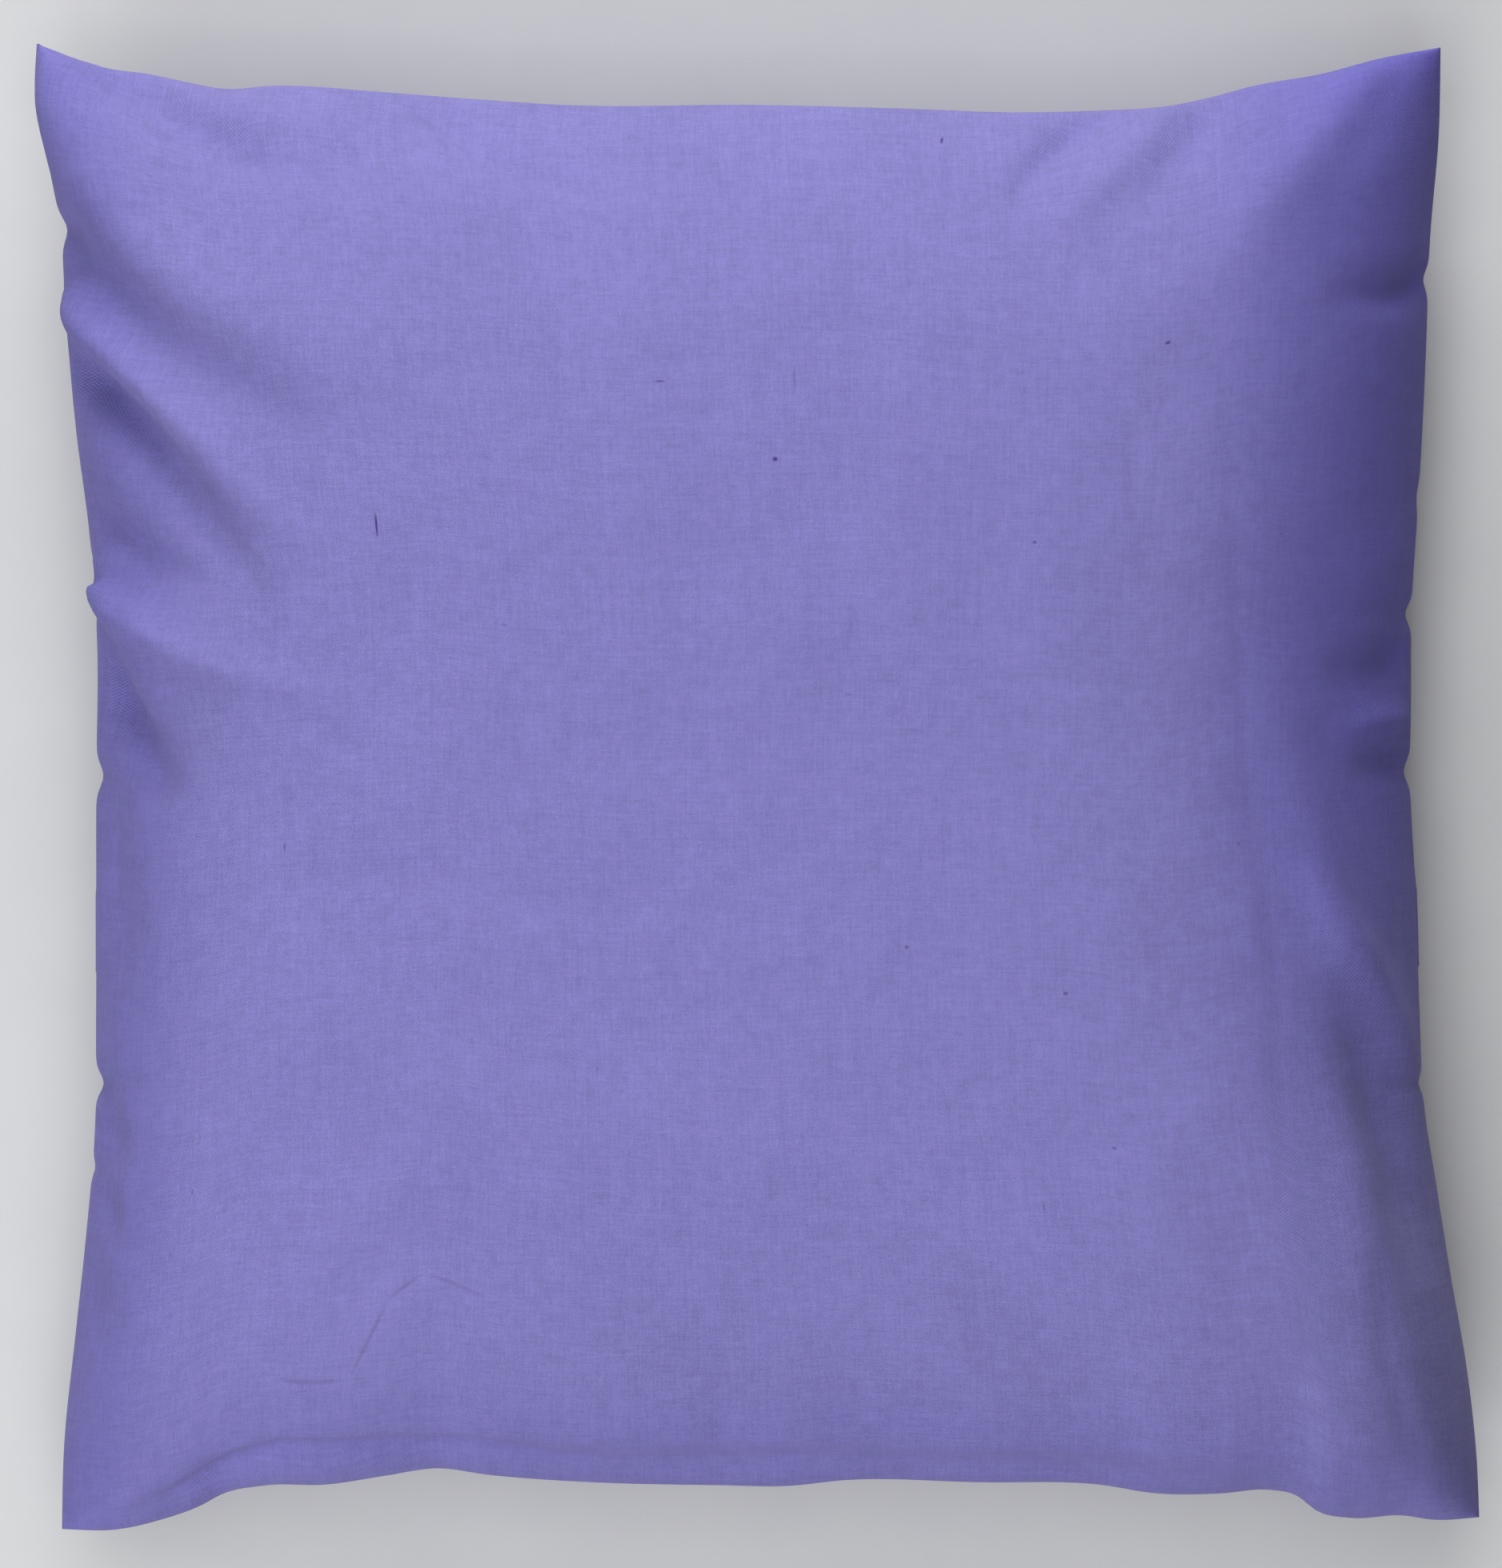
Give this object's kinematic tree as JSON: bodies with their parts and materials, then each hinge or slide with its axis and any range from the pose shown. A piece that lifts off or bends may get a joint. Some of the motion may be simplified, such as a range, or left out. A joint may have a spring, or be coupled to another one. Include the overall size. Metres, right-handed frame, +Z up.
{
  "type": "eye pillow",
  "caption": "Plump square eye pillow: lilac cotton envelope cover over a sewn inner bag of husks, laid over the eyes to rest them or warmed as a small heat pad.",
  "frame": {"origin": "middle of the flat underside, where the pillow rests", "axes": "+Z up out of the face, +X across the pillow to its right side, +Y along the pillow to its top end"},
  "size_m": [0.1954, 0.201, 0.058],
  "materials": {
    "lilac_cotton": "matte",
    "lilac_thread": "satin",
    "undyed_cotton": "matte",
    "undyed_cotton_thread": "satin",
    "spelt_husk": "matte"
  },
  "bodies": {
    "root": {"cover_front_panel": "lilac_cotton", "cover_back_upper_panel": "lilac_cotton", "cover_back_lower_panel": "lilac_cotton", "cover_seam_stitches_left": "lilac_thread", "cover_seam_stitches_right": "lilac_thread", "cover_seam_stitches_top": "lilac_thread", "cover_seam_stitches_bottom": "lilac_thread", "upper_hem_stitches": "lilac_thread", "lower_hem_stitches": "lilac_thread", "inner_bag_front_panel": "undyed_cotton", "inner_bag_back_panel": "undyed_cotton", "inner_bag_seam_stitches_left": "undyed_cotton_thread", "inner_bag_seam_stitches_right": "undyed_cotton_thread", "inner_bag_seam_stitches_top": "undyed_cotton_thread", "inner_bag_closing_stitches": "undyed_cotton_thread", "filling": "spelt_husk"}
  },
  "joints": []
}
